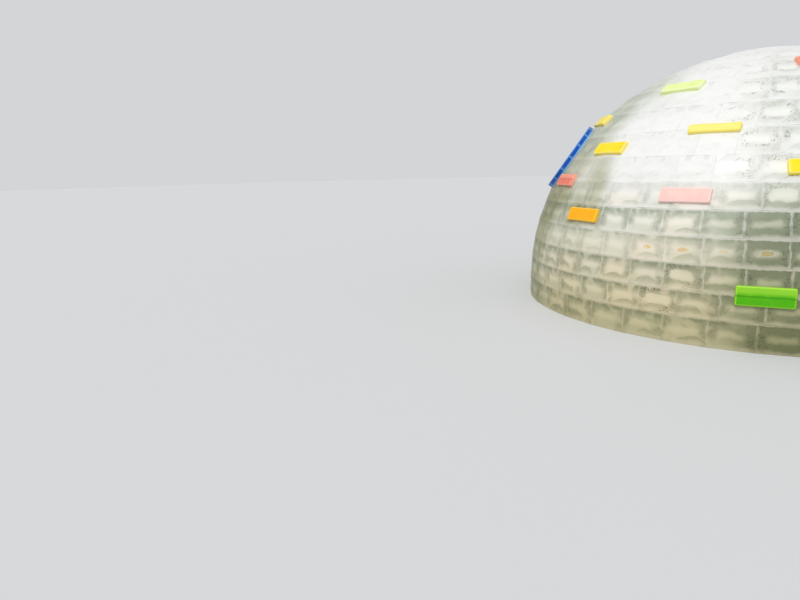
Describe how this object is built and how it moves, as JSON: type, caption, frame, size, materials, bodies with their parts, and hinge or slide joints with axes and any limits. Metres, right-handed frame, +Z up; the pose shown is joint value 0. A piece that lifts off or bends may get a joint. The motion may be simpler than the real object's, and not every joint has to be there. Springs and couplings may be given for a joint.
{
  "type": "ice-block igloo",
  "caption": "Hollow domed igloo of ice blocks with a vaulted porch, a round blue-framed window on each side and coloured ice slabs set in its wall.",
  "frame": {"origin": "middle of the footprint, dome and porch together, at ground level", "axes": "+Z up, +Y out through the porch and its doorway, +X to the right seen from the front, which is -Y"},
  "size_m": [4, 4.5089, 2.2],
  "materials": {
    "clear_ice": "satin",
    "blue_ice": "satin",
    "orange_ice": "satin",
    "yellow_ice": "satin",
    "lime_ice": "satin",
    "green_ice": "satin",
    "red_ice": "satin",
    "pink_ice": "satin"
  },
  "bodies": {
    "root": {"base_course": "clear_ice", "course_02": "clear_ice", "course_03": "clear_ice", "course_04": "clear_ice", "course_05": "clear_ice", "course_06": "clear_ice", "course_07": "clear_ice", "course_08": "clear_ice", "course_09": "clear_ice", "course_10": "clear_ice", "course_11": "clear_ice", "course_12": "clear_ice", "course_13": "clear_ice", "crown_block": "clear_ice", "window_ring_left": "blue_ice", "window_ring_right": "blue_ice", "porch_wall_left": "clear_ice", "porch_wall_right": "clear_ice", "porch_vault": "clear_ice", "door_jamb_left": "blue_ice", "door_jamb_right": "blue_ice", "door_arch": "blue_ice", "orange_slabs": "orange_ice", "yellow_slabs": "yellow_ice", "lime_slabs": "lime_ice", "green_slabs": "green_ice", "red_slabs": "red_ice", "pink_slabs": "pink_ice"}
  },
  "joints": []
}
